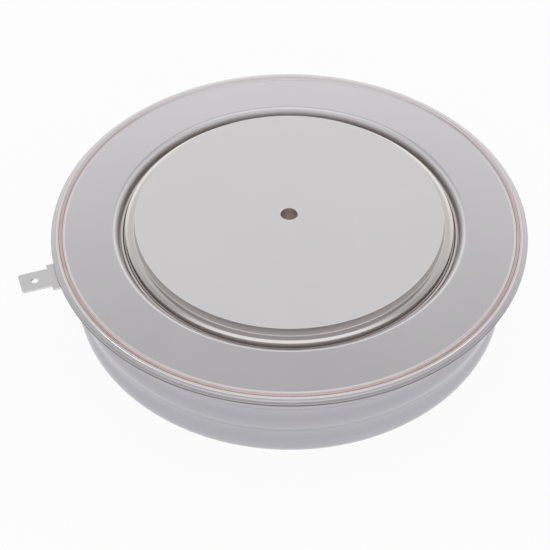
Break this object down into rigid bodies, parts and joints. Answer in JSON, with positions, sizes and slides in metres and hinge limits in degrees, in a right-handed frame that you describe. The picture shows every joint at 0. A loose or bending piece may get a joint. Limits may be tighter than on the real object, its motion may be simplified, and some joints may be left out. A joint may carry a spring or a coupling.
{
  "type": "disc thyristor",
  "caption": "Press-pack disc thyristor: ribbed glazed ceramic ring between plated contact poles, with a welded flange rim, a flat auxiliary cathode tab and a gate blade.",
  "frame": {"origin": "centre of the lower, anode contact face, at the mouth of its centring hole", "axes": "+Z from the anode contact face up to the cathode contact face; the auxiliary cathode tab points along -X"},
  "size_m": [0.1053, 0.098, 0.026],
  "materials": {
    "glazed_alumina": "glossy glaze, faintly lavender",
    "plated_pole": "satin nickel plate on turned copper",
    "plated_sheet": "satin nickel plate on copper sheet",
    "plated_blade": "matt tin plate",
    "silicon": "etched silicon",
    "molybdenum": "lapped",
    "silicone_rubber": "matt",
    "insulator": "waxy white",
    "silver_contact": "silver plate",
    "spring_steel": "drawn wire"
  },
  "bodies": {
    "root": {"ceramic_housing": "glazed_alumina", "cathode_pole": "plated_pole", "anode_pole": "plated_pole", "cathode_flange": "plated_sheet", "weld_ring": "plated_sheet", "anode_flange": "plated_sheet", "aux_cathode_tab": "plated_blade", "silicon_wafer": "silicon", "anode_moly_disc": "molybdenum", "cathode_moly_disc": "molybdenum", "junction_coating": "silicone_rubber", "centring_ring": "insulator", "gate_pin": "silver_contact", "gate_pin_sleeve": "insulator", "gate_spring": "spring_steel", "gate_bush": "insulator", "gate_lead": "silver_contact", "gate_lead_sleeve": "insulator", "gate_tube": "plated_blade", "gate_blade": "plated_blade"}
  },
  "joints": []
}
